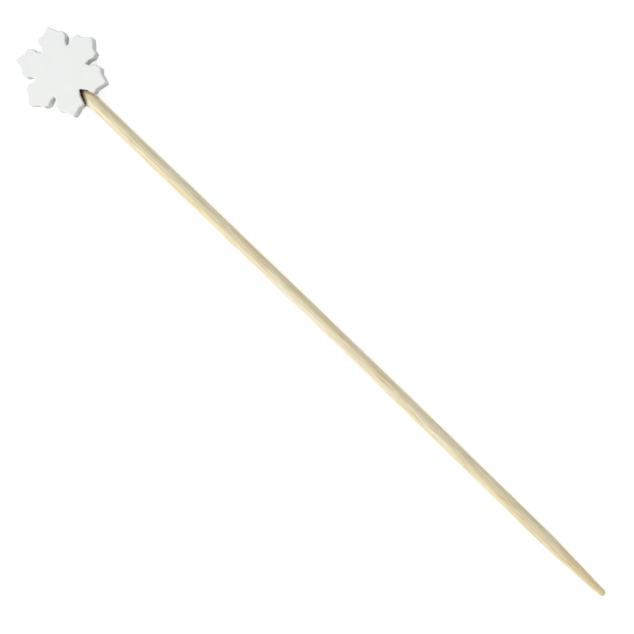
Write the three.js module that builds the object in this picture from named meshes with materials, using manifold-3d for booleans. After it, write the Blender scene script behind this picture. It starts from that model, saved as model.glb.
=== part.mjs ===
// A party pick: a bamboo stick with a sharpened point, glued into the edge of a small
// six-armed snowflake cut from thin wood sheet and painted white.
// Millimetres. The pick lies flat: +Z is the snowflake's face, and the stick runs along +X.
// The origin is the centre of the snowflake's back face.

import * as THREE from 'three';
import { mergeVertices } from 'three/addons/utils/BufferGeometryUtils.js';
import Module from 'manifold-3d';

// Driving dimensions of the whole pick
const pickLength = 120;          // farthest arm tips to the sharpened point

// Driving dimensions of the snowflake
const armCount = 6;
const plateThickness = 3;
const edgeRadius = 0.2;          // rounding that the paint leaves where the faces meet the wall
const hubRadius = 3.9;           // centre to the bottom of the notch between two arms
const notchDepth = 1.45;         // bottom of the notch to its mouth, where the arms are widest
const notchThroat = 0.84;        // width of the notch just above its bottom
const notchThroatHeight = 0.7;   // bottom of the notch to its throat
const notchMouth = 1;            // width of the notch at its mouth
const flankLength = 0.84;        // mouth of the notch to the shoulder, along the arm
const flankSetback = 0.25;       // how much the arm narrows over that length, on each side
const shoulderLength = 0.21;     // shoulder to the root of the little tip, along the arm
const tipRootWidth = 2.46;       // width of the little tip where it leaves the shoulders
const tipLength = 1.19;          // length of the little tip
const cornerRadius = 0.24;       // rounding of the outline's outer corners
const notchRadius = 0.1;         // rounding of the outline's inner corners
const stickNotchThroat = 1.28;   // the notch that takes the stick opens to a V: its width at its throat

// Driving dimensions of the stick
const stickDiameter = 2.15;
const taperLength = 12;          // sharpened stretch at the lower end
const pointDiameter = 1.1;       // where the taper runs into the blunt point
const pointLength = 0.5;         // the blunt point itself
const taperPower = 1.2;          // 1 is a straight cone, more is a fuller, rounder taper

// Driving dimensions of the joint
const tenonDiameter = 1.1;
const tenonDepth = 2;            // bottom of the notch to the end of the tenon
const tenonChamfer = 0.15;
const coneStart = 0.7;           // bottom of the notch to the thin end of the cone
const coneLength = 1.4;          // the cone between tenon and full stick
const glueLength = 0.6;          // glue behind the end of the tenon
const fitClearance = 0.05;       // around the stick in its hole, and around the glue

// Fineness of the surfaces
const cornerSteps = 2;
const edgeSteps = 3;
const roundSegments = 36;
const taperSteps = 14;
const pointSteps = 5;

const wasm = await Module();
wasm.setup();

// Places along the stick, measured from the centre of the snowflake
const armAngle = (2 * Math.PI) / armCount;
const halfArmAngle = armAngle / 2;
const stickRadius = stickDiameter / 2;
const tenonRadius = tenonDiameter / 2;
const boreRadius = tenonRadius + fitClearance;
const tenonEnd = hubRadius - tenonDepth;
const boreEnd = tenonEnd - fitClearance - glueLength - fitClearance;
const coneThinEnd = hubRadius + coneStart;
const coneThickEnd = coneThinEnd + coneLength;

// Corners of one arm, from the bottom of the notch on its right round to the one on its left.
// The arm points along +X here. The notch's own line runs half an arm's angle away from it.
const alongNotch = new THREE.Vector2(Math.cos(halfArmAngle), Math.sin(halfArmAngle));
const acrossNotch = new THREE.Vector2(Math.sin(halfArmAngle), -Math.cos(halfArmAngle));
const notchPoint = (distance, halfWidth) => new THREE.Vector2()
  .addScaledVector(alongNotch, distance)
  .addScaledVector(acrossNotch, halfWidth);

const throat = notchPoint(hubRadius + notchThroatHeight, notchThroat / 2);
const stickThroat = notchPoint(hubRadius + notchThroatHeight, stickNotchThroat / 2);
const mouth = notchPoint(hubRadius + notchDepth, notchMouth / 2);
const shoulder = new THREE.Vector2(mouth.x + flankLength, mouth.y - flankSetback);
const tipRoot = new THREE.Vector2(shoulder.x + shoulderLength, tipRootWidth / 2);
const tip = new THREE.Vector2(tipRoot.x + tipLength, 0);

function armCorners(stickOnRight, stickOnLeft) {
  const plainNotch = [{ at: mouth, radius: cornerRadius }, { at: throat, radius: notchRadius }];
  const stickNotch = [{ at: stickThroat, radius: notchRadius }];
  const upperSide = (besideStick) => [
    { at: tipRoot, radius: notchRadius },
    { at: shoulder, radius: cornerRadius },
    ...(besideStick ? stickNotch : plainNotch),
  ];
  const lowerSide = upperSide(stickOnRight).reverse().map(({ at, radius }) => ({
    at: new THREE.Vector2(at.x, -at.y),
    radius,
  }));
  return [
    ...lowerSide,
    { at: tip, radius: cornerRadius },
    ...upperSide(stickOnLeft),
    { at: notchPoint(hubRadius, 0), radius: notchRadius },
  ];
}

// Corners of the whole outline, anticlockwise, with the notch for the stick on the +X line
function flakeCorners() {
  const corners = [];
  for (let arm = 0; arm < armCount; arm += 1) {
    const turn = halfArmAngle + arm * armAngle;
    for (const { at, radius } of armCorners(arm === 0, arm === armCount - 1)) {
      corners.push({ at: at.clone().rotateAround(new THREE.Vector2(), turn), radius });
    }
  }
  return corners;
}

// Outline with an arc at each corner. An arc takes at most half of each side next to it.
function roundedOutline(corners) {
  const outline = new THREE.Shape();
  corners.forEach(({ at, radius }, index) => {
    const before = corners[(index + corners.length - 1) % corners.length].at;
    const after = corners[(index + 1) % corners.length].at;
    const toBefore = before.clone().sub(at);
    const toAfter = after.clone().sub(at);
    const room = Math.min(toBefore.length(), toAfter.length()) / 2;
    toBefore.normalize();
    toAfter.normalize();
    const halfAngle = Math.acos(THREE.MathUtils.clamp(toBefore.dot(toAfter), -1, 1)) / 2;
    const reach = Math.min(radius / Math.tan(halfAngle), room * 0.98);
    const arcRadius = reach * Math.tan(halfAngle);
    const arcStart = at.clone().addScaledVector(toBefore, reach);
    const arcEnd = at.clone().addScaledVector(toAfter, reach);
    const centre = toBefore.clone().add(toAfter).normalize()
      .multiplyScalar(arcRadius / Math.sin(halfAngle)).add(at);
    const turnsLeft = toAfter.cross(toBefore) > 0;
    outline.absarc(
      centre.x, centre.y, arcRadius,
      arcStart.clone().sub(centre).angle(), arcEnd.clone().sub(centre).angle(),
      !turnsLeft,
    );
  });
  outline.closePath();
  return outline;
}

function toSolid(geometry) {
  const bare = geometry.clone();
  bare.deleteAttribute('normal');
  bare.deleteAttribute('uv');
  const merged = mergeVertices(bare, 1e-4);
  return new wasm.Manifold(new wasm.Mesh({
    numProp: 3,
    vertProperties: new Float32Array(merged.attributes.position.array),
    triVerts: new Uint32Array(merged.index.array),
  }));
}

function toGeometry(solid) {
  const mesh = solid.getMesh();
  const geometry = new THREE.BufferGeometry();
  geometry.setAttribute('position', new THREE.BufferAttribute(mesh.vertProperties, 3));
  geometry.setIndex(new THREE.BufferAttribute(mesh.triVerts, 1));
  const facets = geometry.toNonIndexed();
  facets.computeVertexNormals();
  return facets;
}

// Round solid about the stick's line, from a profile of [distance along the stick, radius]
function turned(profile) {
  const points = profile.map(([along, radius]) => new THREE.Vector2(radius, along));
  return new THREE.LatheGeometry(points, roundSegments).rotateZ(-Math.PI / 2);
}

// The hole for the stick: the blind bore, then the mouth opened out for cone and shank
function holeProfile() {
  const outside = tip.x + plateThickness;
  return [
    [boreEnd, 0],
    [boreEnd, boreRadius],
    [coneThinEnd, boreRadius],
    [coneThickEnd, stickRadius + fitClearance],
    [outside, stickRadius + fitClearance],
    [outside, 0],
  ];
}

// The rounding of an edge can't be larger than the corner that it runs round
function plateGeometry() {
  const rounding = Math.min(edgeRadius, 0.8 * cornerRadius, 0.4 * plateThickness);
  const plate = new THREE.ExtrudeGeometry(roundedOutline(flakeCorners()), {
    depth: plateThickness - 2 * rounding,
    bevelEnabled: true,
    bevelThickness: rounding,
    bevelSize: rounding,
    bevelOffset: -rounding,
    bevelSegments: edgeSteps,
    curveSegments: cornerSteps,
  });
  return plate.translate(0, 0, rounding);
}

function snowflakeGeometry(plate) {
  const hole = turned(holeProfile()).translate(0, 0, plateThickness / 2);
  return toGeometry(toSolid(plate).subtract(toSolid(hole)));
}

function stickGeometry(stickEnd) {
  const pointStart = stickEnd - pointLength;
  const taperStart = stickEnd - taperLength;
  const pointRadius = pointDiameter / 2;
  const profile = [
    [tenonEnd, 0],
    [tenonEnd, tenonRadius - tenonChamfer],
    [tenonEnd + tenonChamfer, tenonRadius],
    [coneThinEnd, tenonRadius],
    [coneThickEnd, stickRadius],
  ];
  for (let step = 0; step <= taperSteps; step += 1) {
    const share = step / taperSteps;
    profile.push([
      THREE.MathUtils.lerp(taperStart, pointStart, share),
      THREE.MathUtils.lerp(stickRadius, pointRadius, share ** taperPower),
    ]);
  }
  for (let step = 1; step <= pointSteps; step += 1) {
    const angle = (step / pointSteps) * (Math.PI / 2);
    profile.push([
      pointStart + pointLength * Math.sin(angle),
      step === pointSteps ? 0 : pointRadius * Math.cos(angle),
    ]);
  }
  return turned(profile);
}

function glueGeometry() {
  const glueRadius = boreRadius - fitClearance;
  return turned([
    [boreEnd + fitClearance, 0],
    [boreEnd + fitClearance, glueRadius],
    [tenonEnd - fitClearance, glueRadius],
    [tenonEnd - fitClearance, 0],
  ]);
}

const bamboo = new THREE.MeshStandardMaterial({ color: 0xe6d6a8, roughness: 0.62, metalness: 0 });
const whitePaint = new THREE.MeshStandardMaterial({ color: 0xe6e8e5, roughness: 0.7, metalness: 0 });
const driedGlue = new THREE.MeshStandardMaterial({ color: 0xe9dcb8, roughness: 0.3, metalness: 0 });

function named(name, geometry, material) {
  const mesh = new THREE.Mesh(geometry, material);
  mesh.name = name;
  return mesh;
}

const plate = plateGeometry();
plate.computeBoundingBox();
const stickEnd = plate.boundingBox.min.x + pickLength;

const pick = new THREE.Group();
pick.add(named('snowflake', snowflakeGeometry(plate), whitePaint));

// The stick and the glue lie on the plate's middle plane
const stickLine = new THREE.Group();
stickLine.position.z = plateThickness / 2;
stickLine.add(named('bamboo_stick', stickGeometry(stickEnd), bamboo));
stickLine.add(named('glue_plug', glueGeometry(), driedGlue));
pick.add(stickLine);

export default pick;
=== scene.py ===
# Looks of a party pick: a sharpened bamboo stick glued into a small white snowflake of wood
import math

import bpy
import numpy as np
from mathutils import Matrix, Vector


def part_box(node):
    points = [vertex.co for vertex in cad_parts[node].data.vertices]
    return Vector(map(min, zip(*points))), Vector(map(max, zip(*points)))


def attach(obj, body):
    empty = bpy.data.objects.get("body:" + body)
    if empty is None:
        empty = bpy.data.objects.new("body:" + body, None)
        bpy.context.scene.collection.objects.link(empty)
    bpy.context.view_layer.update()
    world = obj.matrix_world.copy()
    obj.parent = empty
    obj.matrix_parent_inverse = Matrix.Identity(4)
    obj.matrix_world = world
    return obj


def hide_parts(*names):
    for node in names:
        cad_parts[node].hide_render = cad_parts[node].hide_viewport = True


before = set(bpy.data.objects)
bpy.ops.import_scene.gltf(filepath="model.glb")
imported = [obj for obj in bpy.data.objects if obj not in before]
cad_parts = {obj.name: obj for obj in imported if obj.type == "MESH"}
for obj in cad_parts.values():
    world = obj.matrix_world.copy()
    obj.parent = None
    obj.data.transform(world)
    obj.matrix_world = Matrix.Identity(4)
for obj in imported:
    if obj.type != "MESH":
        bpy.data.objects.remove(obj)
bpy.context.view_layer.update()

mm = 0.001                                  # sizes below are in millimetres, the frame is in metres

plateLow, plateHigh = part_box("snowflake")
stickLow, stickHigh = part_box("bamboo_stick")
plateThickness = (plateHigh[2] - plateLow[2]) / mm
stickMiddle = (stickHigh[2] + stickLow[2]) / 2 / mm      # height of the stick's line
stickRadius = (stickHigh[2] - stickLow[2]) / 2 / mm
stickStart = stickLow[0] / mm               # end of the tenon inside the snowflake
stickEnd = stickHigh[0] / mm                # sharpened point
print("frame read: stick from", round(stickStart, 2), "to", round(stickEnd, 2), "mm")


# Shared helpers

def wander(t, count, slowest, fastest, seed):
    # A smooth random line about zero with a spread of about 1: the sum of height * sin(rate * t +
    # phase) over count waves of random rate, phase and height. t may be an array of any shape.
    dice = np.random.default_rng(seed)
    rates = dice.uniform(slowest, fastest, count)
    phases = dice.uniform(0, 2 * np.pi, count)
    heights = dice.uniform(0.5, 1.0, count)
    total = np.zeros_like(t, dtype=float)
    for rate, phase, height in zip(rates, phases, heights):
        total += height * np.sin(rate * t + phase)
    return total / math.sqrt(count / 2)


def smoothStep(low, high, value):
    # 0 up to low, 1 from high on, and the cubic 3x^2 - 2x^3 between
    share = np.clip((value - low) / (high - low), 0, 1)
    return share * share * (3 - 2 * share)


def tubeMesh(name, rings, flatEnds=False):
    # rings is an array of shape (rows, columns, 3) in millimetres. Each row closes on itself. The
    # first and last rows are closed by a fan to their middle, or by one flat face. Rows run so that
    # faces point out.
    rows, columns = rings.shape[:2]
    points = rings.reshape(-1, 3)
    row, column = np.meshgrid(np.arange(rows - 1), np.arange(columns), indexing="ij")
    after = (column + 1) % columns
    quads = np.stack([row * columns + column, row * columns + after,
                      (row + 1) * columns + after, (row + 1) * columns + column], axis=-1)
    here = np.arange(columns)
    there = (here + 1) % columns
    last = (rows - 1) * columns
    if flatEnds:
        ends = [here[::-1].tolist(), (last + here).tolist()]
    else:
        points = np.concatenate([points, rings[[0, -1]].mean(axis=1)])
        firstMiddle = np.full(columns, rows * columns)
        firstFan = np.stack([there, here, firstMiddle], axis=-1)
        lastFan = np.stack([last + here, last + there, firstMiddle + 1], axis=-1)
        ends = [*firstFan.tolist(), *lastFan.tolist()]
    mesh = bpy.data.meshes.new(name)
    mesh.from_pydata((points * mm).tolist(), [], quads.reshape(-1, 4).tolist() + ends)
    mesh.update()
    return mesh


def addObject(name, data):
    piece = bpy.data.objects.new(name, data)
    bpy.context.scene.collection.objects.link(piece)
    return piece


def smoothFaces(mesh, sharpDegrees):
    mesh.shade_smooth()
    mesh.set_sharp_from_angle(angle=math.radians(sharpDegrees))


# Bamboo stick

stick = {
    "tenonRadius": 0.55,
    "tenonChamfer": 0.15,
    "coneThinEnd": 4.6,         # from the snowflake's centre
    "coneThickEnd": 6.0,
    "taperLength": 12.0,
    "pointRadius": 0.55,        # where the taper runs into the blunt point
    "pointLength": 0.5,
    "taperPower": 1.2,
    "columns": 128,
    "tenonRows": 24,
    "coneRows": 36,
    "coneRunOut": 0.4,          # how far the cone's close rows go on along the shank
    "shankRows": 420,
    "endRows": 90,              # rows over the sharpened stretch
    "endGap": 0.004,            # last row to the very point
    "fibreCount": 54,           # lengthwise grooves between fibre bundles
    "fibreDepth": 0.011,
    "fibreDepthShare": (0.25, 1.0),
    "fibreWidth": (0.025, 0.07),        # in radians round the stick
    "fibreSway": 0.05,
    "fibreSwayWaves": (4, 0.02, 0.2),   # how many waves, the slowest and the fastest
    "fibreFade": (0.35, 0.6),           # middle and spread of a groove's strength along the stick
    "fibreFadeWaves": (5, 0.04, 0.5),
    "ovalness": 0.010,
    "ovalTurn": 0.6,
    "girthDrift": 0.010,        # how far the radius drifts along the stick
    "girthWaves": (7, 0.05, 0.35),
    "bow": 0.12,                # how far the stick bends sideways at its middle
    "whittleSides": 9,          # knife facets on cone and tenon
    "whittleCut": 0.045,
    "whittleSway": (0.05, 2.1),         # how far and how fast the facets sway round the stick
    "whittleFade": (-0.1, 0.5),         # from the thick end of the cone
    "sharpenSides": 7,          # longer and fainter facets on the sharpened stretch
    "sharpenCut": 0.05,
    "sharpenSway": (0.04, 0.7),
    "sharpenFade": (-1.5, 2.5),         # from the start of the taper
    "sharpenMarks": 0.002,
    "sharpenWaves": (12, 6, 30),
    "pointAside": 0.05,         # the blunt point is a little off the stick's line
    "pointDrop": 0.03,
    "pointBend": 3.0,           # stretch over which it leaves that line
    "sharpDegrees": 60,
    "seeds": {"girth": 3, "marks": 5, "whittle": 11, "sharpen": 12, "fibre": 21, "sway": 100,
              "fade": 300},
}


def stickRadiusAt(along):
    # Radius along the stick: straight lines over chamfer, tenon, cone and shank, then the shank's
    # radius going over to the point's by share ** taperPower, then a quarter circle
    s = stick
    pointStart = stickEnd - s["pointLength"]
    taperStart = stickEnd - s["taperLength"]
    profile = np.array([
        [stickStart, s["tenonRadius"] - s["tenonChamfer"]],
        [stickStart + s["tenonChamfer"], s["tenonRadius"]],
        [s["coneThinEnd"], s["tenonRadius"]],
        [s["coneThickEnd"], stickRadius],
        [taperStart, stickRadius],
    ])
    radius = np.interp(along, profile[:, 0], profile[:, 1])
    share = np.clip((along - taperStart) / (pointStart - taperStart), 0, 1)
    taper = stickRadius + (s["pointRadius"] - stickRadius) * share ** s["taperPower"]
    radius = np.where(along > taperStart, taper, radius)
    roundShare = np.clip((along - pointStart) / s["pointLength"], 0, 1)
    rounded = s["pointRadius"] * np.sqrt(np.maximum(0, 1 - roundShare ** 2))
    return np.where(along > pointStart, rounded, radius)


def facetCut(angle, sides, depth, seed):
    # Flat knife facets round the stick: each facet is a plane at distance / cos(angle - heading),
    # and the stick keeps what lies inside all of them. Returns the share of the radius left over.
    dice = np.random.default_rng(seed)
    unevenHeading, leastDepth, grazing = 0.3, 0.5, 0.2
    shift = dice.uniform(-unevenHeading, unevenHeading, sides)
    headings = (np.arange(sides) + shift) * 2 * np.pi / sides
    distances = 1 - depth * dice.uniform(leastDepth, 1.0, sides)
    left = np.ones_like(angle)
    for heading, distance in zip(headings, distances):
        facing = np.maximum(np.cos(angle - heading), grazing)
        left = np.minimum(left, distance / facing)
    return left


def stickRings():
    # Circles round the stick's line whose radius follows the profile, less the facets and grooves
    s, seeds = stick, stick["seeds"]
    taperStart = stickEnd - s["taperLength"]
    shankStart = s["coneThickEnd"] + s["coneRunOut"]
    tenonRows = np.linspace(stickStart, s["coneThinEnd"], s["tenonRows"], endpoint=False)
    coneRows = np.linspace(s["coneThinEnd"], shankStart, s["coneRows"], endpoint=False)
    shankRows = np.linspace(shankStart, taperStart, s["shankRows"], endpoint=False)
    endShare = np.sin(np.linspace(0, np.pi / 2, s["endRows"]))       # rows crowd towards the point
    endRows = taperStart + (stickEnd - s["endGap"] - taperStart) * endShare
    rows = np.concatenate([tenonRows, coneRows, shankRows, endRows])
    turns = np.linspace(0, 2 * np.pi, s["columns"], endpoint=False)
    along, angle = np.meshgrid(rows, turns, indexing="ij")

    radius = stickRadiusAt(along)
    fullness = radius / stickRadius                    # 1 on the shank, 0 at the very point
    radius = radius * (1 + s["ovalness"] * np.cos(2 * angle + s["ovalTurn"]) * fullness)
    radius += s["girthDrift"] * wander(along, *s["girthWaves"], seeds["girth"]) * fullness

    # Each set of facets sways round the stick along a sine, and fades out along the stick
    begins, ends = s["whittleFade"]
    onCone = 1 - smoothStep(s["coneThickEnd"] + begins, s["coneThickEnd"] + ends, along)
    reach, rate = s["whittleSway"]
    swayed = angle + reach * np.sin(along * rate)
    cone = facetCut(swayed, s["whittleSides"], s["whittleCut"], seeds["whittle"])
    radius *= 1 + onCone * (cone - 1)
    begins, ends = s["sharpenFade"]
    onTaper = smoothStep(taperStart + begins, taperStart + ends, along)
    reach, rate = s["sharpenSway"]
    swayed = angle + reach * np.sin(along * rate)
    taper = facetCut(swayed, s["sharpenSides"], s["sharpenCut"], seeds["sharpen"])
    radius *= 1 + onTaper * (taper - 1)

    # Grooves between fibre bundles: dents of depth * exp(-(gap / width)^2), where gap is the angle
    # to the groove's own line, which drifts a little. They fade in and out along the stick.
    dice = np.random.default_rng(seeds["fibre"])
    middle, spread = s["fibreFade"]
    for fibre in range(s["fibreCount"]):
        home = dice.uniform(0, 2 * np.pi)
        width = dice.uniform(*s["fibreWidth"])
        depth = s["fibreDepth"] * dice.uniform(*s["fibreDepthShare"])
        drift = s["fibreSway"] * wander(along, *s["fibreSwayWaves"], seeds["sway"] + fibre)
        gap = np.angle(np.exp(1j * (angle - home - drift)))
        fade = wander(along, *s["fibreFadeWaves"], seeds["fade"] + fibre)
        strength = np.clip(middle + spread * fade, 0, 1)
        radius -= depth * strength * np.exp(-((gap / width) ** 2)) * fullness
    marks = wander(along, *s["sharpenWaves"], seeds["marks"])
    radius += s["sharpenMarks"] * marks * onTaper * fullness

    # The stick is bowed along a squared sine, from the cone to the point
    lengthShare = np.clip((along - s["coneThickEnd"]) / (stickEnd - s["coneThickEnd"]), 0, 1)
    sideways = s["bow"] * np.sin(np.pi * lengthShare) ** 2
    nearPoint = smoothStep(stickEnd - s["pointBend"], stickEnd, along)
    return np.stack([
        along,
        sideways + radius * np.cos(angle) + s["pointAside"] * nearPoint,
        stickMiddle + radius * np.sin(angle) - s["pointDrop"] * nearPoint,
    ], axis=-1)


# Snowflake plate

flake = {
    "arms": 6,
    "hubRadius": 3.9,           # centre to the bottom of the notches
    "notchDepth": 1.45,         # bottom of a notch to its mouth, where the arms are widest
    "notchThroat": 0.84,
    "notchThroatHeight": 0.7,
    "notchMouth": 1.0,
    "flankLength": 0.84,
    "flankSetback": 0.25,
    "shoulderLength": 0.21,
    "tipRootWidth": 2.46,
    "tipLength": 1.19,
    "cornerRadius": 0.24,
    "notchRadius": 0.1,
    "cornerRoom": 0.49,         # share of the shorter side that a corner's rounding may take
    "stickNotchThroat": 1.28,   # the notch that takes the stick opens to a V
    "edgeRadius": 0.2,          # paint rounds the edges
    "arcPoints": 9,             # on each rounded corner, before the outline is spaced evenly
    "outlinePoints": 1440,
    "edgeRows": 8,
    "wallRows": 16,
    "evenedPoints": (2, 5),     # neighbours on each side that a normal is evened over
    "faceMargin": 0.03,         # from the rounded edge to where the flat face begins
    "trueAngle": 0.35,          # the outline stays true this near to the stick's line, in radians
    "unevenArms": 0.006,        # share by which the arms differ in length
    "armWaves": ((1, 1.0, 1.1), (2, 0.8, -0.7), (5, 1.0, 2.2)),     # rate, height and phase
    "wavyOutline": 0.012,
    "outlineWaves": ((23, 0.6, 0.4), (37, 1.0, 1.9)),
    "wallRelief": 0.010,        # upright marks that the cutting leaves
    "wallWaves": (40, 60, 260),
    "wallSeed": 41,
    "wallFade": 1.5,            # edge radii from a face to where the marks are full
    "sharpDegrees": 38,
    "boreRadius": 0.6,
    "boreEnd": 1.2,
    "boreChamfer": 0.02,
    "fitClearance": 0.05,
    "holeRunOut": 3,            # how far the hole's shape goes on outside the snowflake
    "holeColumns": 96,
}


def armCorners(stickOnRight, stickOnLeft):
    # Corners of one arm that points along +X, from the notch on its right round to the next notch.
    # Each row is x, y and corner radius. The notch for the stick is opened to a V.
    f = flake
    half = np.pi / f["arms"]
    alongNotch = np.array([math.cos(half), math.sin(half)])
    acrossNotch = np.array([math.sin(half), -math.cos(half)])

    def notchCorner(distance, width, radius):
        return (*(distance * alongNotch + width / 2 * acrossNotch), radius)

    throatPlace = f["hubRadius"] + f["notchThroatHeight"]
    mouth = notchCorner(f["hubRadius"] + f["notchDepth"], f["notchMouth"], f["cornerRadius"])
    plainNotch = [mouth, notchCorner(throatPlace, f["notchThroat"], f["notchRadius"])]
    stickNotch = [notchCorner(throatPlace, f["stickNotchThroat"], f["notchRadius"])]
    shoulder = (mouth[0] + f["flankLength"], mouth[1] - f["flankSetback"], f["cornerRadius"])
    tipRoot = (shoulder[0] + f["shoulderLength"], f["tipRootWidth"] / 2, f["notchRadius"])
    tip = (tipRoot[0] + f["tipLength"], 0, f["cornerRadius"])
    left = [tipRoot, shoulder, *(stickNotch if stickOnLeft else plainNotch)]
    right = [tipRoot, shoulder, *(stickNotch if stickOnRight else plainNotch)]
    lower = [(x, -y, radius) for x, y, radius in right[::-1]]
    return np.array([*lower, tip, *left, notchCorner(f["hubRadius"], 0, f["notchRadius"])])


def roundedOutline():
    # Closed outline of the whole flake: at each corner an arc that touches both sides, centred at
    # reach / cos(half the corner's angle) along the line that halves the corner, then evenly spaced
    # points. The notch for the stick lies on the +X line.
    f = flake
    corners = []
    for arm in range(f["arms"]):
        turn = np.pi / f["arms"] + arm * 2 * np.pi / f["arms"]
        spin = np.array([[math.cos(turn), math.sin(turn)], [-math.sin(turn), math.cos(turn)]])
        turned = armCorners(arm == 0, arm == f["arms"] - 1)
        turned[:, :2] = turned[:, :2] @ spin
        corners.append(turned)
    corners = np.concatenate(corners)
    points, radii = corners[:, :2], corners[:, 2]
    toBefore = np.roll(points, 1, axis=0) - points
    toAfter = np.roll(points, -1, axis=0) - points
    lengthBefore = np.linalg.norm(toBefore, axis=1)
    lengthAfter = np.linalg.norm(toAfter, axis=1)
    toBefore /= lengthBefore[:, None]
    toAfter /= lengthAfter[:, None]
    halfAngle = np.arccos(np.clip((toBefore * toAfter).sum(axis=1), -1, 1)) / 2
    room = f["cornerRoom"] * np.minimum(lengthBefore, lengthAfter)
    reach = np.minimum(radii / np.tan(halfAngle), room)
    middle = toBefore + toAfter
    middle /= np.linalg.norm(middle, axis=1)[:, None]
    centres = points + middle * (reach / np.cos(halfAngle))[:, None]
    arcRadii = reach * np.tan(halfAngle)
    share = np.linspace(0, 1, f["arcPoints"])[None, :, None]
    start = points + toBefore * reach[:, None] - centres
    end = points + toAfter * reach[:, None] - centres
    spokes = start[:, None] * (1 - share) + end[:, None] * share
    spokes *= (arcRadii[:, None] / np.linalg.norm(spokes, axis=2))[..., None]
    dense = (centres[:, None] + spokes).reshape(-1, 2)
    dense = np.concatenate([dense, dense[:1]])
    travelled = np.concatenate([[0], np.cumsum(np.linalg.norm(np.diff(dense, axis=0), axis=1))])
    places = np.linspace(0, travelled[-1], f["outlinePoints"], endpoint=False)
    return np.stack([np.interp(places, travelled, dense[:, k]) for k in (0, 1)], axis=-1)


def outwardNormals(outline, spread):
    # Square to the outline, and evened out over some points on both sides, so that an inset of the
    # outline doesn't fold over itself at the tight corners
    ahead = np.roll(outline, -1, axis=0) - np.roll(outline, 1, axis=0)
    normals = np.stack([ahead[:, 1], -ahead[:, 0]], axis=-1)
    normals /= np.linalg.norm(normals, axis=1)[:, None]
    evened = sum(np.roll(normals, step, axis=0) for step in range(-spread, spread + 1))
    return evened / np.linalg.norm(evened, axis=1)[:, None]


def plateRings():
    # Rows run from the front face over its rounded edge, down the wall and round to the back face.
    # Each has an inset from the outline and a height: edge * (1 - sin) and edge * (1 - cos) over a
    # quarter circle at either face, and no inset on the wall.
    f = flake
    fewNeighbours, moreNeighbours = f["evenedPoints"]
    outline = roundedOutline()
    around = np.linspace(0, 2 * np.pi, len(outline), endpoint=False)
    heading = np.arctan2(outline[:, 1], outline[:, 0])
    fromStick = 1 - np.exp(-((heading / f["trueAngle"]) ** 2))
    arms = sum(tall * np.cos(rate * heading + phase) for rate, tall, phase in f["armWaves"])
    outline = outline * (1 + f["unevenArms"] * arms * fromStick)[:, None]
    waves = sum(tall * np.sin(rate * around + phase) for rate, tall, phase in f["outlineWaves"])
    swell = f["wavyOutline"] * waves * fromStick
    outline = outline + outwardNormals(outline, fewNeighbours) * swell[:, None]
    normals = outwardNormals(outline, moreNeighbours)

    edge = f["edgeRadius"]
    bend = np.linspace(0, np.pi / 2, f["edgeRows"] + 1)
    wall = np.linspace(plateThickness - edge, edge, f["wallRows"] + 1)[1:-1]
    frontInset = [edge + f["faceMargin"], *(edge * (1 - np.sin(bend)))]
    frontHeight = [plateThickness, *(plateThickness - edge * (1 - np.cos(bend)))]
    inset = np.array([*frontInset, *np.zeros(len(wall)), *frontInset[::-1]])
    height = np.array([*frontHeight, *wall, *(plateThickness - np.array(frontHeight[::-1]))])

    # The walls keep upright marks of the cutting
    onWall = smoothStep(0, edge * f["wallFade"], np.minimum(height, plateThickness - height))
    marks = f["wallRelief"] * wander(around, *f["wallWaves"], f["wallSeed"]) * fromStick
    moved = onWall[:, None] * marks[None] - inset[:, None]
    flat = outline[None] + normals[None] * moved[..., None]
    return np.dstack([flat, np.broadcast_to(height[:, None], flat.shape[:2])])


def holeRings():
    # The hole for the stick: circles round the stick's line, one for each change of radius along
    # blind bore, cone and mouth
    f, s = flake, stick
    mouthRadius = stickRadius + f["fitClearance"]
    profile = np.array([
        [f["boreEnd"], f["boreRadius"] - f["boreChamfer"]],
        [f["boreEnd"] + f["boreChamfer"], f["boreRadius"]],
        [s["coneThinEnd"], f["boreRadius"]],
        [s["coneThickEnd"], mouthRadius],
        [plateHigh[0] / mm + f["holeRunOut"], mouthRadius],
    ])
    turns = np.linspace(0, 2 * np.pi, f["holeColumns"], endpoint=False)
    along, angle = np.meshgrid(profile[:, 0], turns, indexing="ij")
    radius = np.broadcast_to(profile[:, 1:], along.shape)
    return np.stack([along, radius * np.cos(angle), stickMiddle + radius * np.sin(angle)], axis=-1)


def makeSnowflake():
    blank = tubeMesh("painted_snowflake", plateRings(), flatEnds=True)
    plate = addObject("painted_snowflake", blank)
    drill = addObject("drill", tubeMesh("drill", holeRings()))
    cut = plate.modifiers.new("hole", "BOOLEAN")
    cut.operation = "DIFFERENCE"
    cut.solver = "EXACT"
    cut.object = drill
    bpy.context.view_layer.update()
    seen = plate.evaluated_get(bpy.context.evaluated_depsgraph_get())
    drilled = bpy.data.meshes.new_from_object(seen)
    plate.modifiers.clear()
    plate.data = drilled
    bpy.data.objects.remove(drill)
    smoothFaces(drilled, flake["sharpDegrees"])
    return plate


def makeStick():
    mesh = tubeMesh("whittled_bamboo_stick", stickRings())
    smoothFaces(mesh, stick["sharpDegrees"])
    return addObject("whittled_bamboo_stick", mesh)


# Node helpers

def addNode(tree, kind, place=(0, 0), **settings):
    node = tree.nodes.new(kind)
    node.location = place
    for name, value in settings.items():
        setattr(node, name, value)
    return node


def fill(node, **values):
    # Sets input sockets by name. A double underscore stands for a space.
    for name, value in values.items():
        node.inputs[name.replace("__", " ")].default_value = value
    return node


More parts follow.
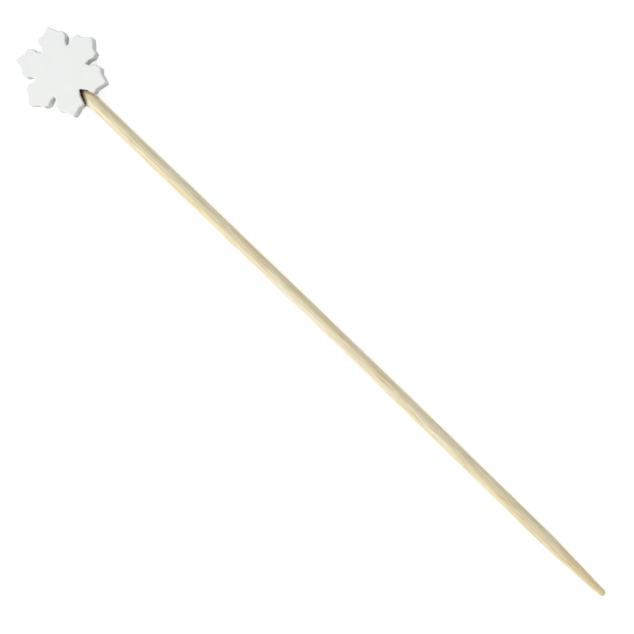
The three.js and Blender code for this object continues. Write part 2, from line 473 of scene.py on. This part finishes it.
def newGroup(name, inputs, outputs):
    group = bpy.data.node_groups.new(name, "ShaderNodeTree")
    for label, kind, value in inputs:
        socket = group.interface.new_socket(name=label, in_out="INPUT", socket_type=kind)
        if value is not None:
            socket.default_value = value
    for label, kind in outputs:
        group.interface.new_socket(name=label, in_out="OUTPUT", socket_type=kind)
    start = addNode(group, "NodeGroupInput", (-900, 0))
    end = addNode(group, "NodeGroupOutput", (900, 0))
    return group, start, end


def noise(tree, vector, scale, detail, roughness=0.5, place=(0, 0)):
    node = addNode(tree, "ShaderNodeTexNoise", place)
    fill(node, Scale=scale, Detail=detail, Roughness=roughness)
    tree.links.new(vector, node.inputs["Vector"])
    return node.outputs["Fac"]


def mapRange(tree, value, low, high, toLow, toHigh, place=(0, 0)):
    node = addNode(tree, "ShaderNodeMapRange", place, interpolation_type="SMOOTHSTEP")
    node.inputs["From Min"].default_value = low
    node.inputs["From Max"].default_value = high
    node.inputs["To Min"].default_value = toLow
    node.inputs["To Max"].default_value = toHigh
    tree.links.new(value, node.inputs["Value"])
    return node.outputs["Result"]


def maths(tree, operation, first, second, place=(0, 0)):
    node = addNode(tree, "ShaderNodeMath", place, operation=operation)
    for socket, value in zip(node.inputs, (first, second)):
        if isinstance(value, (int, float)):
            socket.default_value = value
        else:
            tree.links.new(value, socket)
    return node.outputs[0]


def mixColour(tree, share, first, second, blend="MIX", place=(0, 0)):
    # A mix node has its factor at input 0 and its two colours at inputs 6 and 7
    node = addNode(tree, "ShaderNodeMix", place, data_type="RGBA", blend_type=blend)
    sockets = node.inputs[0], node.inputs[6], node.inputs[7]
    for socket, value in zip(sockets, (share, first, second)):
        if isinstance(value, (int, float, tuple)):
            socket.default_value = value
        else:
            tree.links.new(value, socket)
    return node.outputs[2]


def fibreGroup():
    # Lengthwise wood fibres from three noises that are stretched along X. Scale holds how often the
    # pattern changes per metre along each axis.
    group, start, end = newGroup(
        "lengthwiseFibres",
        [("Vector", "NodeSocketVector", None), ("Scale", "NodeSocketVector", (50, 1500, 1500))],
        [("Streak", "NodeSocketFloat"), ("Fibre", "NodeSocketFloat"),
         ("Pore", "NodeSocketFloat"), ("Height", "NodeSocketFloat")],
    )
    stretched = addNode(group, "ShaderNodeVectorMath", (-700, 0), operation="MULTIPLY")
    group.links.new(start.outputs["Vector"], stretched.inputs[0])
    group.links.new(start.outputs["Scale"], stretched.inputs[1])
    vector = stretched.outputs[0]
    streak = noise(group, vector, 0.55, 2, 0.5, (-450, 300))
    fibre = noise(group, vector, 2.6, 3, 0.6, (-450, 0))
    pores = noise(group, vector, 4.2, 1, 0.5, (-450, -300))
    pore = mapRange(group, pores, 0.64, 0.76, 0, 1, (-200, -300))
    height = maths(group, "SUBTRACT", fibre, pore, (0, -150))
    wide = mapRange(group, streak, 0.3, 0.7, 0, 1, (-200, 300))
    for label, value in (("Streak", wide), ("Fibre", fibre), ("Pore", pore), ("Height", height)):
        group.links.new(value, end.inputs[label])
    return group


def mottleGroup():
    # Broad, faint unevenness of a finish: one soft noise and a finer one on top
    group, start, end = newGroup(
        "softMottle",
        [("Vector", "NodeSocketVector", None), ("Scale", "NodeSocketFloat", 300.0),
         ("Contrast", "NodeSocketFloat", 1.0)],
        [("Mask", "NodeSocketFloat")],
    )
    broad = addNode(group, "ShaderNodeTexNoise", (-500, 150))
    fill(broad, Detail=2.0, Roughness=0.5)
    fine = addNode(group, "ShaderNodeTexNoise", (-500, -150))
    fill(fine, Detail=3.0, Roughness=0.6)
    finer = maths(group, "MULTIPLY", start.outputs["Scale"], 3.7, (-700, -250))
    group.links.new(start.outputs["Vector"], broad.inputs["Vector"])
    group.links.new(start.outputs["Vector"], fine.inputs["Vector"])
    group.links.new(start.outputs["Scale"], broad.inputs["Scale"])
    group.links.new(finer, fine.inputs["Scale"])
    both = maths(group, "ADD", maths(group, "MULTIPLY", broad.outputs["Fac"], 0.65, (-250, 150)),
                 maths(group, "MULTIPLY", fine.outputs["Fac"], 0.35, (-250, -150)), (0, 0))
    centred = maths(group, "SUBTRACT", both, 0.5, (150, 0))
    scaled = maths(group, "MULTIPLY", centred, start.outputs["Contrast"], (300, 0))
    mask = addNode(group, "ShaderNodeMath", (500, 0), operation="ADD", use_clamp=True)
    mask.inputs[1].default_value = 0.5
    group.links.new(scaled, mask.inputs[0])
    group.links.new(mask.outputs[0], end.inputs["Mask"])
    return group


def jointShadeGroup():
    # Mask of painted shade along a short line from Start to End: full inside Inner, gone beyond
    # Outer, with a ragged edge between. The nearest place on the line lies at a share of its length
    # that is (P - Start).(End - Start) / (End - Start).(End - Start), held between 0 and 1.
    group, start, end = newGroup(
        "jointShadeAndStain",
        [("Vector", "NodeSocketVector", None), ("Start", "NodeSocketVector", (0, 0, 0)),
         ("End", "NodeSocketVector", (0.001, 0, 0)),
         ("Inner", "NodeSocketFloat", 0.0005), ("Outer", "NodeSocketFloat", 0.001)],
        [("Mask", "NodeSocketFloat")],
    )

    def vectors(operation, first, second, place):
        node = addNode(group, "ShaderNodeVectorMath", place, operation=operation)
        group.links.new(first, node.inputs[0])
        group.links.new(second, node.inputs[1])
        return node

    vector = start.outputs["Vector"]
    line = vectors("SUBTRACT", start.outputs["End"], start.outputs["Start"], (-700, 300)).outputs[0]
    offset = vectors("SUBTRACT", vector, start.outputs["Start"], (-700, 100)).outputs[0]
    along = vectors("DOT_PRODUCT", offset, line, (-500, 200)).outputs["Value"]
    whole = vectors("DOT_PRODUCT", line, line, (-500, 400)).outputs["Value"]
    share = addNode(group, "ShaderNodeMath", (-300, 300), operation="DIVIDE", use_clamp=True)
    group.links.new(along, share.inputs[0])
    group.links.new(whole, share.inputs[1])
    step = addNode(group, "ShaderNodeVectorMath", (-150, 300), operation="SCALE")
    group.links.new(line, step.inputs[0])
    group.links.new(share.outputs[0], step.inputs["Scale"])
    away = vectors("DISTANCE", offset, step.outputs[0], (0, 150)).outputs["Value"]
    ragged = noise(group, vector, 3200, 3, 0.6, (-600, -150))
    centred = maths(group, "SUBTRACT", ragged, 0.5, (-400, -150))
    wandering = 0.6 * mm        # how much the ragged edge wanders
    unevenness = maths(group, "MULTIPLY", centred, wandering, (-200, -150))
    reach = maths(group, "ADD", away, unevenness, (150, 0))
    band = addNode(group, "ShaderNodeMapRange", (300, 0), interpolation_type="SMOOTHSTEP")
    fill(band, To__Min=1.0, To__Max=0.0)
    group.links.new(reach, band.inputs["Value"])
    group.links.new(start.outputs["Inner"], band.inputs["From Min"])
    group.links.new(start.outputs["Outer"], band.inputs["From Max"])
    group.links.new(band.outputs["Result"], end.inputs["Mask"])
    return group


fibres = fibreGroup()
mottle = mottleGroup()
jointShade = jointShadeGroup()
print("shader groups made")


def startMaterial(name):
    material = bpy.data.materials.new(name)
    material.use_nodes = True
    tree = material.node_tree
    tree.nodes.clear()
    out = addNode(tree, "ShaderNodeOutputMaterial", (1500, 0))
    skin = addNode(tree, "ShaderNodeBsdfPrincipled", (1200, 0))
    tree.links.new(skin.outputs[0], out.inputs["Surface"])
    place = addNode(tree, "ShaderNodeTexCoord", (-1400, 0)).outputs["Object"]
    return material, tree, skin, place


def useGroup(tree, group, vector, place=(0, 0), **values):
    node = addNode(tree, "ShaderNodeGroup", place, node_tree=group)
    tree.links.new(vector, node.inputs["Vector"])
    return fill(node, **values)


def addBump(tree, skin, height, distance, strength, place=(900, -400)):
    bump = addNode(tree, "ShaderNodeBump", place)
    fill(bump, Distance=distance, Strength=strength)
    tree.links.new(height, bump.inputs["Height"])
    tree.links.new(bump.outputs["Normal"], skin.inputs["Normal"])


# Painted shade at the joint, in dark marks along lines from start to end, full as far as inner and
# gone at outer. The bottom mark is near-black painted shade with a glue stain under the notch's
# bottom and on the tenon's thin end, the wall mark is painted shade along one wall of the notch and
# the cone's side beside it, and the shoulder mark is painted shade where the stick's shoulder meets
# the other wall.
jointShades = {
    # near-black painted shade with a glue stain, under the notch's bottom
    "bottom": {"start": (4.05, 0, 0.8), "end": (4.05, 0, 2.35), "inner": 0.30, "outer": 0.62},
    # painted shade along one wall of the notch and the cone's side beside it
    "wall": {"start": (4.2, -0.30, 1.8), "end": (6.1, -1.12, 1.5), "inner": 0.25, "outer": 0.65},
    # painted shade on the stick's shoulder
    "shoulder": {"start": (5.8, 0.8, 1.9), "end": (6.6, 1.0, 1.9), "inner": 0.1, "outer": 0.65},
}


def jointShadeMask(tree, place, name, location):
    size = jointShades[name]
    start, end = (tuple(value * mm for value in size[key]) for key in ("start", "end"))
    node = useGroup(tree, jointShade, place, location, Start=start, End=end,
                    Inner=size["inner"] * mm, Outer=size["outer"] * mm)
    return node.outputs["Mask"]


def addJointShade(tree, place, clean, darkest, dark):
    # Lays the painted shade of the notch's wall and bottom over a material's colour, the bottom
    # with a glue stain
    wall = jointShadeMask(tree, place, "wall", (300, 900))
    flankShaded = mixColour(tree, wall, clean, dark, place=(600, 700))
    bottom = jointShadeMask(tree, place, "bottom", (300, 1100))
    return mixColour(tree, bottom, flankShaded, darkest, place=(800, 700))


bambooLook = {
    "cream": (0.895, 0.858, 0.722, 1),
    "straw": (0.800, 0.695, 0.425, 1),
    "tan": (0.585, 0.430, 0.205, 1),
    "line": (0.400, 0.260, 0.120, 1),
    "greenish": (0.755, 0.705, 0.445, 1),
    "amber": (0.765, 0.610, 0.350, 1),
    "tipTint": (0.740, 0.570, 0.290, 1),
    "shoulderShade": (0.520, 0.390, 0.250, 1),        # painted shade on the shoulder, where it meets the snowflake's wall
    # near-black painted shade with a glue stain, then brown painted shade of the notch's wall
    "glueStainAndShade": (0.085, 0.050, 0.022, 1),
    "flankShade": (0.200, 0.140, 0.070, 1),
    "broadScale": (84, 4200, 4200),             # changes per metre, along and across the stick
    "grainScale": (60, 2000, 2000),
    "fineScale": (160, 5200, 5200),
    "patchScale": (150, 1300, 1300),
    "cloudScale": 90.0,
    "cloudContrast": 2.4,
    "tanFrom": (0.46, 0.66),    # fibre values between which the tan of the coarse fibres comes in
    "fineFrom": (0.50, 0.75),
    "roughFrom": (0.30, 0.70),
    "greenishShare": 0.5,
    "amberShare": 0.42,
    "tanShare": 0.58,
    "fineShare": 0.35,
    "poreShare": 0.65,
    "tipShare": 0.7,
    "shoulderShadeShare": 0.5,
    "roughness": (0.36, 0.56),
    "specular": 0.5,
    "polish": 0.45,             # satin gloss that the sanding leaves on the hard outer fibres
    "polishRoughness": 0.3,
    "grainRelief": 0.6,
    "fineRelief": 0.4,
    "reliefDepth": 0.05,
    "reliefStrength": 0.6,
}


def bambooMaterial():
    b = bambooLook
    material, tree, skin, place = startMaterial("bareBamboo")
    broad = useGroup(tree, fibres, place, (-1100, 500), Scale=b["broadScale"])
    grain = useGroup(tree, fibres, place, (-1100, 200), Scale=b["grainScale"])
    fine = useGroup(tree, fibres, place, (-1100, -100), Scale=b["fineScale"])
    cloud = useGroup(tree, mottle, place, (-1100, -400), Scale=b["cloudScale"],
                     Contrast=b["cloudContrast"])
    body = mixColour(tree, broad.outputs["Streak"], b["cream"], b["straw"], place=(-700, 500))
    tint = maths(tree, "MULTIPLY", cloud.outputs["Mask"], b["greenishShare"], (-900, -350))
    clouded = mixColour(tree, tint, body, b["greenish"], place=(-500, 500))
    patch = useGroup(tree, fibres, place, (-1100, -900), Scale=b["patchScale"])
    amberShare = maths(tree, "MULTIPLY", patch.outputs["Streak"], b["amberShare"], (-900, -850))
    ambered = mixColour(tree, amberShare, clouded, b["amber"], place=(-400, 650))
    tanShare = mapRange(tree, grain.outputs["Fibre"], *b["tanFrom"], 0, b["tanShare"], (-800, 250))
    tanned = mixColour(tree, tanShare, ambered, b["tan"], place=(-300, 500))
    fineShare = mapRange(tree, fine.outputs["Fibre"], *b["fineFrom"], 0, b["fineShare"], (-800, 0))
    lined = mixColour(tree, fineShare, tanned, b["tan"], place=(-100, 500))
    poreShare = maths(tree, "MULTIPLY", grain.outputs["Pore"], b["poreShare"], (-800, 120))
    pored = mixColour(tree, poreShare, lined, b["line"], place=(100, 500))
    split = addNode(tree, "ShaderNodeSeparateXYZ", (-1100, 800))
    tree.links.new(place, split.inputs[0])
    taperStart = (stickEnd - stick["taperLength"]) * mm
    nearTip = mapRange(tree, split.outputs["X"], taperStart, stickEnd * mm, 0, b["tipShare"],
                       (-800, 850))
    tipped = mixColour(tree, nearTip, pored, b["tipTint"], place=(300, 500))
    # Painted shade on the stick's shoulder, where the cone's thick end turns from the light by the
    # wall
    shoulder = jointShadeMask(tree, place, "shoulder", (0, 900))
    shoulderShadeShare = maths(tree, "MULTIPLY", shoulder, b["shoulderShadeShare"], (200, 900))
    shoulderShade = mixColour(tree, shoulderShadeShare, tipped, b["shoulderShade"], place=(400, 600))
    # Painted shade along the notch's wall, and near-black painted shade with a glue stain at its
    # bottom
    colour = addJointShade(tree, place, shoulderShade, b["glueStainAndShade"], b["flankShade"])
    tree.links.new(colour, skin.inputs["Base Color"])
    rough = mapRange(tree, fine.outputs["Fibre"], *b["roughFrom"], *b["roughness"], (300, -100))
    tree.links.new(rough, skin.inputs["Roughness"])
    skin.inputs["Specular IOR Level"].default_value = b["specular"]
    skin.inputs["Coat Weight"].default_value = b["polish"]
    skin.inputs["Coat Roughness"].default_value = b["polishRoughness"]
    coarse = maths(tree, "MULTIPLY", grain.outputs["Height"], b["grainRelief"], (400, -350))
    close = maths(tree, "MULTIPLY", fine.outputs["Height"], b["fineRelief"], (400, -500))
    height = maths(tree, "ADD", coarse, close, (600, -400))
    addBump(tree, skin, height, b["reliefDepth"] * mm, b["reliefStrength"])
    return material


paintLook = {
    "white": (0.872, 0.886, 0.873, 1),
    "shadeWhite": (0.835, 0.850, 0.839, 1),
    "warmWhite": (0.872, 0.866, 0.838, 1),
    "wallShadeWhite": (0.680, 0.695, 0.680, 1),      # painted shade: the cut walls are painted greyer than the faces
    "thin": (0.760, 0.690, 0.550, 1),           # on the walls beside the stick
    "bareWood": (0.300, 0.190, 0.095, 1),       # inside the drilled hole
    # near-black painted shade with a glue stain, then brown painted shade of the notch's wall
    "glueStainAndShade": (0.070, 0.042, 0.020, 1),
    "flankShade": (0.190, 0.135, 0.070, 1),
    "grainDirection": 0.5,      # in radians from the stick's line
    "grainScale": (160, 2600, 900),
    "cloudScale": 420.0,
    "cloudContrast": 2.2,
    "warmScale": 230.0,
    "warmContrast": 3.0,
    "speckScale": 2600.0,
    "speckContrast": 2.0,
    "warmShare": 0.45,
    "brushShare": 0.3,
    "wallShadeShare": 0.8,
    "wallShadeEdge": (0.03, 0.20),   # from a face, where the walls' painted shade begins and is full
    "thinReach": (1.20, 1.42),  # from the stick's line, where the thin coat begins to fade and ends
    "holeFade": 0.05,
    "hubFade": (0.5, 1.0),      # from the snowflake's centre, where both begin and are full
    "roughFrom": (0.2, 0.8),
    "roughness": (0.55, 0.72),
    "specular": 0.35,
    "grainRelief": 0.8,
    "speckRelief": 0.3,
    "reliefDepth": 0.03,
    "reliefStrength": 0.35,
}


def paintMaterial():
    p = paintLook
    material, tree, skin, place = startMaterial("whitePaintOnWood")
    turned = addNode(tree, "ShaderNodeMapping", (-1250, 200))
    turned.inputs["Rotation"].default_value = (0, 0, p["grainDirection"])
    tree.links.new(place, turned.inputs["Vector"])
    grain = useGroup(tree, fibres, turned.outputs[0], (-1000, 200), Scale=p["grainScale"])
    cloud = useGroup(tree, mottle, place, (-1000, -100), Scale=p["cloudScale"],
                     Contrast=p["cloudContrast"])
    warm = useGroup(tree, mottle, turned.outputs[0], (-1000, -250), Scale=p["warmScale"],
                    Contrast=p["warmContrast"])
    speck = useGroup(tree, mottle, place, (-1000, -450), Scale=p["speckScale"],
                     Contrast=p["speckContrast"])
    base = mixColour(tree, cloud.outputs["Mask"], p["white"], p["shadeWhite"], place=(-500, 200))
    warmShare = maths(tree, "MULTIPLY", warm.outputs["Mask"], p["warmShare"], (-700, -200))
    warmed = mixColour(tree, warmShare, base, p["warmWhite"], place=(-400, 200))
    brushShare = maths(tree, "MULTIPLY", grain.outputs["Streak"], p["brushShare"], (-700, 350))
    brushed = mixColour(tree, brushShare, warmed, p["shadeWhite"], place=(-300, 200))
    # The walls are told from the faces by their height and get painted shade, a greyer white
    split = addNode(tree, "ShaderNodeSeparateXYZ", (-1000, 600))
    tree.links.new(place, split.inputs[0])
    begins, full = p["wallShadeEdge"]
    overBack = mapRange(tree, split.outputs["Z"], begins * mm, full * mm, 0, 1, (-700, 1000))
    underFront = mapRange(tree, split.outputs["Z"], (plateThickness - full) * mm,
                          (plateThickness - begins) * mm, 1, 0, (-700, 1200))
    between = maths(tree, "MULTIPLY", overBack, underFront, (-450, 1100))
    wallShadeShare = maths(tree, "MULTIPLY", between, p["wallShadeShare"], (-300, 1100))
    wallShaded = mixColour(tree, wallShadeShare, brushed, p["wallShadeWhite"], place=(-100, 400))
    # Distance from the stick's line tells the drilled hole from the notch's walls and from the rest
    lift = maths(tree, "SUBTRACT", split.outputs["Z"], stickMiddle * mm, (-800, 700))
    away = addNode(tree, "ShaderNodeVectorMath", (-450, 700), operation="LENGTH")
    gather = addNode(tree, "ShaderNodeCombineXYZ", (-600, 700))
    tree.links.new(split.outputs["Y"], gather.inputs["Y"])
    tree.links.new(lift, gather.inputs["Z"])
    tree.links.new(gather.outputs[0], away.inputs[0])
    fades, ends = p["thinReach"]
    onWall = mapRange(tree, away.outputs["Value"], fades * mm, ends * mm, 1, 0, (-250, 850))
    inHole = mapRange(tree, away.outputs["Value"], flake["boreRadius"] * mm,
                      (flake["boreRadius"] + p["holeFade"]) * mm, 1, 0, (-250, 700))
    begins, full = p["hubFade"]
    pastHub = mapRange(tree, split.outputs["X"], begins * mm, full * mm, 0, 1, (-600, 500))
    thinShare = maths(tree, "MULTIPLY", onWall, pastHub, (0, 800))
    walled = mixColour(tree, thinShare, wallShaded, p["thin"], place=(100, 250))
    bareShare = maths(tree, "MULTIPLY", inHole, pastHub, (0, 650))
    holed = mixColour(tree, bareShare, walled, p["bareWood"], place=(300, 250))
    # Painted shade along the notch's wall, and near-black painted shade with a glue stain at its
    # bottom
    colour = addJointShade(tree, place, holed, p["glueStainAndShade"], p["flankShade"])
    tree.links.new(colour, skin.inputs["Base Color"])
    rough = mapRange(tree, speck.outputs["Mask"], *p["roughFrom"], *p["roughness"], (300, -100))
    tree.links.new(rough, skin.inputs["Roughness"])
    skin.inputs["Specular IOR Level"].default_value = p["specular"]
    brushMarks = maths(tree, "MULTIPLY", grain.outputs["Fibre"], p["grainRelief"], (300, -350))
    specks = maths(tree, "MULTIPLY", speck.outputs["Mask"], p["speckRelief"], (300, -500))
    height = maths(tree, "ADD", brushMarks, specks, (500, -400))
    addBump(tree, skin, height, p["reliefDepth"] * mm, p["reliefStrength"])
    return material


glueLook = {
    "amber": (0.78, 0.62, 0.36, 1),
    "clear": (0.86, 0.76, 0.55, 1),
    "cloudScale": 1800.0,
    "cloudContrast": 2.0,
    "roughness": (0.2, 0.35),
    "gloss": 0.3,
    "reliefDepth": 0.03,
    "reliefStrength": 0.4,
}


def glueMaterial():
    g = glueLook
    material, tree, skin, place = startMaterial("driedGlue")
    cloud = useGroup(tree, mottle, place, (-600, 0), Scale=g["cloudScale"],
                     Contrast=g["cloudContrast"])
    colour = mixColour(tree, cloud.outputs["Mask"], g["amber"], g["clear"], place=(-200, 0))
    tree.links.new(colour, skin.inputs["Base Color"])
    rough = mapRange(tree, cloud.outputs["Mask"], 0, 1, *g["roughness"], (-200, -200))
    tree.links.new(rough, skin.inputs["Roughness"])
    skin.inputs["Coat Weight"].default_value = g["gloss"]
    addBump(tree, skin, cloud.outputs["Mask"], g["reliefDepth"] * mm, g["reliefStrength"])
    return material


# Camera above the middle of the pick, with the snowflake upper left and the point lower right

view = {
    "pickSlope": 44.0,          # degrees that the stick falls towards the lower right
    "height": 235.0,            # above the table
    "spread": 96.5,             # what the picture's side covers
    "middle": 53.4,             # place on the stick that the camera looks at
    "aside": 15.0,              # how far the camera stands beside the stick's line
    "sensor": 36,
    "clip": (0.001, 10),        # in metres
}


def makeCamera():
    data = bpy.data.cameras.new("overheadCamera")
    data.sensor_width = view["sensor"]
    data.lens = view["sensor"] * math.hypot(view["height"], view["aside"]) / view["spread"]
    data.clip_start, data.clip_end = view["clip"]
    camera = addObject("overheadCamera", data)
    camera.location = (view["middle"] * mm, view["aside"] * mm, view["height"] * mm)
    camera.rotation_euler = (-math.atan(view["aside"] / view["height"]), 0, 0)
    camera.rotation_euler.rotate_axis("Z", math.radians(view["pickSlope"]))
    bpy.context.scene.camera = camera


# Lamps stand at a heading in degrees in the picture, 180 being its left side. The distances and
# sizes here are in metres. The table glows for the camera and in reflections only, so that it shows
# white without lighting the pick.
studio = {
    "softboxLeft": {"heading": 195, "elevation": 38, "distance": 0.9, "size": 0.6, "power": 5.15},
    "cardRight": {"heading": 10, "elevation": 15, "distance": 0.9, "size": 0.8, "power": 0.4},
    "fill": 0.61,               # light from all round
    "fillTint": (0.99, 0.995, 1.0, 1),
    "backdrop": (1, 1, 1, 1),
    "tableColour": (0.78, 0.78, 0.78, 1),
    "tableGlow": 0.6,
    "tableSide": 3.0,           # from its middle to each side
}


def addSoftLight(name):
    # A round soft lamp that faces the middle of the view
    setting = studio[name]
    data = bpy.data.lights.new(name, "AREA")
    data.shape = "DISK"
    data.size = setting["size"]
    data.energy = setting["power"]
    lamp = addObject(name, data)
    turn = math.radians(setting["heading"] + view["pickSlope"])
    rise = math.radians(setting["elevation"])
    level = math.cos(rise)
    direction = np.array([math.cos(turn) * level, math.sin(turn) * level, math.sin(rise)])
    lamp.location = direction * setting["distance"] + np.array([view["middle"] * mm, 0, 0])
    lamp.rotation_euler = (math.pi / 2 - rise, 0, turn + math.pi / 2)


def makeFloor():
    # The pick lies on the edge of the snowflake and on the stick where its taper begins, so the
    # table rises a quarter of a degree along the stick
    side = studio["tableSide"]
    rest = plateHigh[0]
    rise = (stickMiddle - stickRadius) * mm / ((stickEnd - stick["taperLength"]) * mm - rest)
    low, high = rise * (-side - rest), rise * (side - rest)
    corners = [(-side, -side, low), (side, -side, high), (side, side, high), (-side, side, low)]
    mesh = bpy.data.meshes.new("table")
    mesh.from_pydata(corners, [], [(0, 1, 2, 3)])
    floor = addObject("table", mesh)
    material = bpy.data.materials.new("whiteTable")
    material.use_nodes = True
    tree = material.node_tree
    tree.nodes.clear()
    out = addNode(tree, "ShaderNodeOutputMaterial", (600, 0))
    matt = addNode(tree, "ShaderNodeBsdfDiffuse", (0, -100))
    matt.inputs["Color"].default_value = studio["tableColour"]
    glow = addNode(tree, "ShaderNodeEmission", (0, 150))
    glow.inputs["Strength"].default_value = studio["tableGlow"]
    both = addNode(tree, "ShaderNodeAddShader", (200, 100))
    tree.links.new(glow.outputs[0], both.inputs[0])
    tree.links.new(matt.outputs[0], both.inputs[1])
    rays = addNode(tree, "ShaderNodeLightPath", (-400, 400))
    seen = rays.outputs["Is Camera Ray"]
    for step, ray in enumerate(("Is Glossy Ray", "Is Transmission Ray")):
        seen = maths(tree, "MAXIMUM", seen, rays.outputs[ray], (-200 + 200 * step, 400))
    pick = addNode(tree, "ShaderNodeMixShader", (400, 0))
    tree.links.new(seen, pick.inputs[0])
    tree.links.new(matt.outputs[0], pick.inputs[1])
    tree.links.new(both.outputs[0], pick.inputs[2])
    tree.links.new(pick.outputs[0], out.inputs["Surface"])
    floor.data.materials.append(material)


def makeWorld():
    world = bpy.data.worlds.new("studio")
    bpy.context.scene.world = world
    world.use_nodes = True
    tree = world.node_tree
    tree.nodes.clear()
    out = addNode(tree, "ShaderNodeOutputWorld", (600, 0))
    fillLight = addNode(tree, "ShaderNodeBackground", (200, -100))
    fillLight.inputs["Color"].default_value = studio["fillTint"]
    fillLight.inputs["Strength"].default_value = studio["fill"]
    backdrop = addNode(tree, "ShaderNodeBackground", (200, 100))
    backdrop.inputs["Color"].default_value = studio["backdrop"]
    rays = addNode(tree, "ShaderNodeLightPath", (-200, 300))
    pick = addNode(tree, "ShaderNodeMixShader", (400, 0))
    tree.links.new(rays.outputs["Is Camera Ray"], pick.inputs[0])
    tree.links.new(fillLight.outputs[0], pick.inputs[1])
    tree.links.new(backdrop.outputs[0], pick.inputs[2])
    tree.links.new(pick.outputs[0], out.inputs["Surface"])


makeCamera()
makeFloor()
makeWorld()
addSoftLight("softboxLeft")
addSoftLight("cardRight")
bpy.context.scene.view_settings.view_transform = "Standard"
print("camera, table and light made")

snowflake = makeSnowflake()
snowflake.data.materials.clear()
snowflake.data.materials.append(paintMaterial())
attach(snowflake, "root")
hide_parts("snowflake")
print("snowflake made:", len(snowflake.data.polygons), "faces")

bambooStick = makeStick()
bambooStick.data.materials.append(bambooMaterial())
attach(bambooStick, "root")
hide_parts("bamboo_stick")
print("bamboo stick made:", len(bambooStick.data.polygons), "faces")

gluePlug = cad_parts["glue_plug"]
gluePlug.data.materials.clear()
gluePlug.data.materials.append(glueMaterial())
print("glue given its look")
